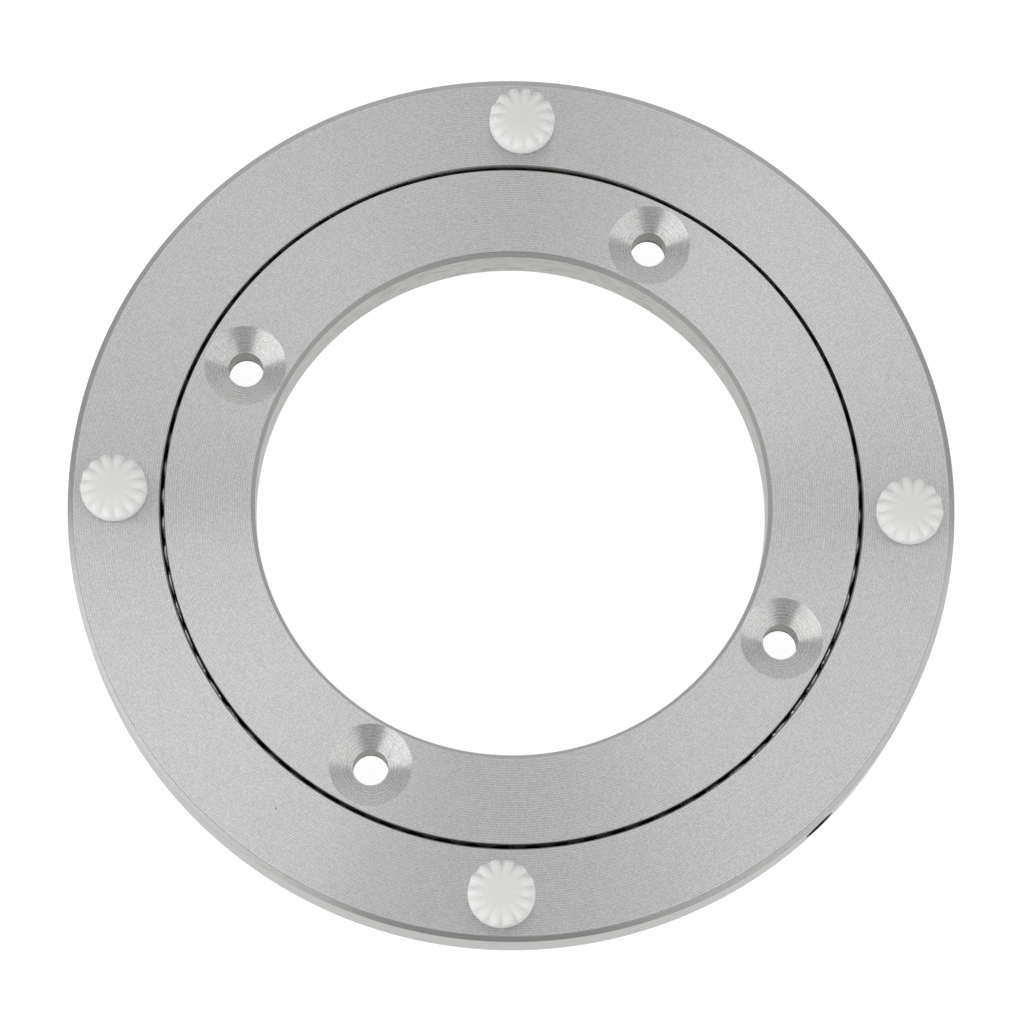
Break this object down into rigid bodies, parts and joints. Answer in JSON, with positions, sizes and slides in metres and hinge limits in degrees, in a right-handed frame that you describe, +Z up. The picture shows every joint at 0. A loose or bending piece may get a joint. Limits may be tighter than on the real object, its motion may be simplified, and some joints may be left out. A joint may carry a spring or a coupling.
{
  "type": "lazy susan bearing",
  "caption": "Flat round turntable bearing: two aluminium rings on a full circle of steel balls, with countersunk screw holes in the inner ring and fluted rubber pads on the turning outer ring.",
  "frame": {"origin": "on the axis of rotation, on the plane of the inner ring's lower face, which the bearing stands on", "axes": "+Z up along the axis of rotation; +X through the middle of pad_1, +Y through the middle of pad_2"},
  "size_m": [0.12, 0.12, 0.0115],
  "materials": {
    "ring": "fine turned, satin, plain silver",
    "ball": "polished steel",
    "pad": "white silicone, matt",
    "plug": "black oxide steel"
  },
  "bodies": {
    "base": {"inner_ring": "ring"},
    "turntable": {"outer_ring": "ring", "port_plug": "plug", "pad_1": "pad", "pad_2": "pad", "pad_3": "pad", "pad_4": "pad"},
    "balls": {"ball_pair_01": "ball", "ball_pair_02": "ball", "ball_pair_03": "ball", "ball_pair_04": "ball", "ball_pair_05": "ball", "ball_pair_06": "ball", "ball_pair_07": "ball", "ball_pair_08": "ball", "ball_pair_09": "ball", "ball_pair_10": "ball", "ball_pair_11": "ball", "ball_pair_12": "ball", "ball_pair_13": "ball", "ball_pair_14": "ball", "ball_pair_15": "ball", "ball_pair_16": "ball", "ball_pair_17": "ball", "ball_pair_18": "ball", "ball_pair_19": "ball", "ball_pair_20": "ball", "ball_pair_21": "ball", "ball_pair_22": "ball", "ball_pair_23": "ball", "ball_pair_24": "ball", "ball_pair_25": "ball", "ball_pair_26": "ball", "ball_pair_27": "ball", "ball_pair_28": "ball", "ball_pair_29": "ball", "ball_pair_30": "ball", "ball_pair_31": "ball", "ball_pair_32": "ball", "ball_pair_33": "ball", "ball_pair_34": "ball", "ball_pair_35": "ball", "ball_pair_36": "ball", "ball_pair_37": "ball"}
  },
  "joints": [
    {"name": "turntable_spin", "type": "hinge", "parent": "base", "child": "turntable", "pos_m": [0, 0, 0.00425], "axis": [0, 0, 1], "continuous": true},
    {"name": "ball_orbit", "type": "hinge", "parent": "base", "child": "balls", "pos_m": [0, 0, 0.00425], "axis": [0, 0, 1], "continuous": true}
  ],
  "couplings": [
    {"joint": "ball_orbit", "follows": "turntable_spin", "ratio": 0.52115}
  ]
}
